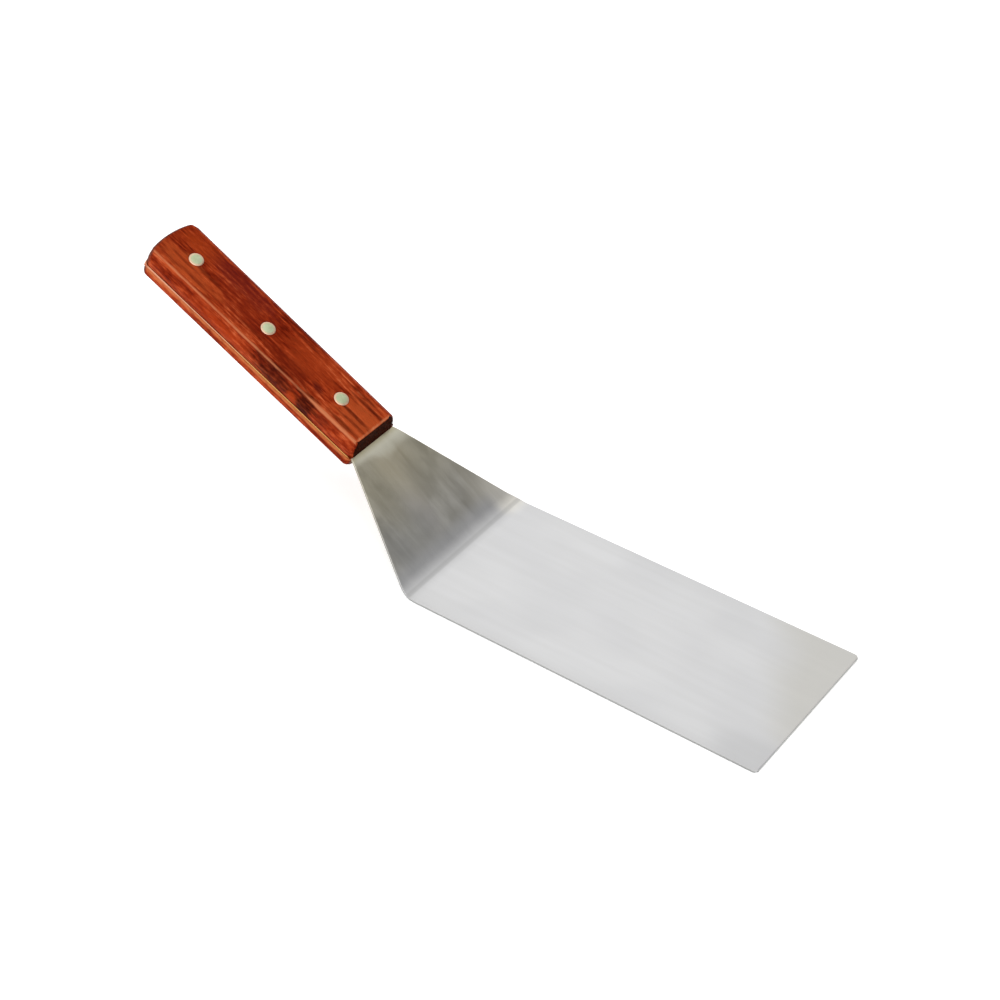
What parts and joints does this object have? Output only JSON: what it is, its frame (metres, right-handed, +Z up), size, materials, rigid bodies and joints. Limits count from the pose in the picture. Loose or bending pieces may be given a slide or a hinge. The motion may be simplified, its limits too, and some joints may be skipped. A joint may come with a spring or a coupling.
{
  "type": "grill spatula",
  "caption": "Solid grill turner: flat rectangular steel blade, raised tapered neck and full tang between riveted wooden handle scales, for lifting and turning food.",
  "frame": {"origin": "centre of the blade's flat underside, the face that the spatula stands on", "axes": "+X along the blade towards its front edge, +Y across the blade, +Z up out of the blade's top face"},
  "size_m": [0.3222, 0.0762, 0.0971],
  "materials": {
    "blade_steel": "fine brushed stainless sheet",
    "handle_wood": "red-brown hardwood under clear gloss lacquer",
    "rivet_metal": "pale silver rivet metal ground flush and lightly polished"
  },
  "bodies": {
    "root": {"blade_and_tang": "blade_steel", "upper_scale": "handle_wood", "lower_scale": "handle_wood", "rivet_tube_front": "rivet_metal", "rivet_pin_front": "rivet_metal", "rivet_tube_middle": "rivet_metal", "rivet_pin_middle": "rivet_metal", "rivet_tube_butt": "rivet_metal", "rivet_pin_butt": "rivet_metal"}
  },
  "joints": []
}
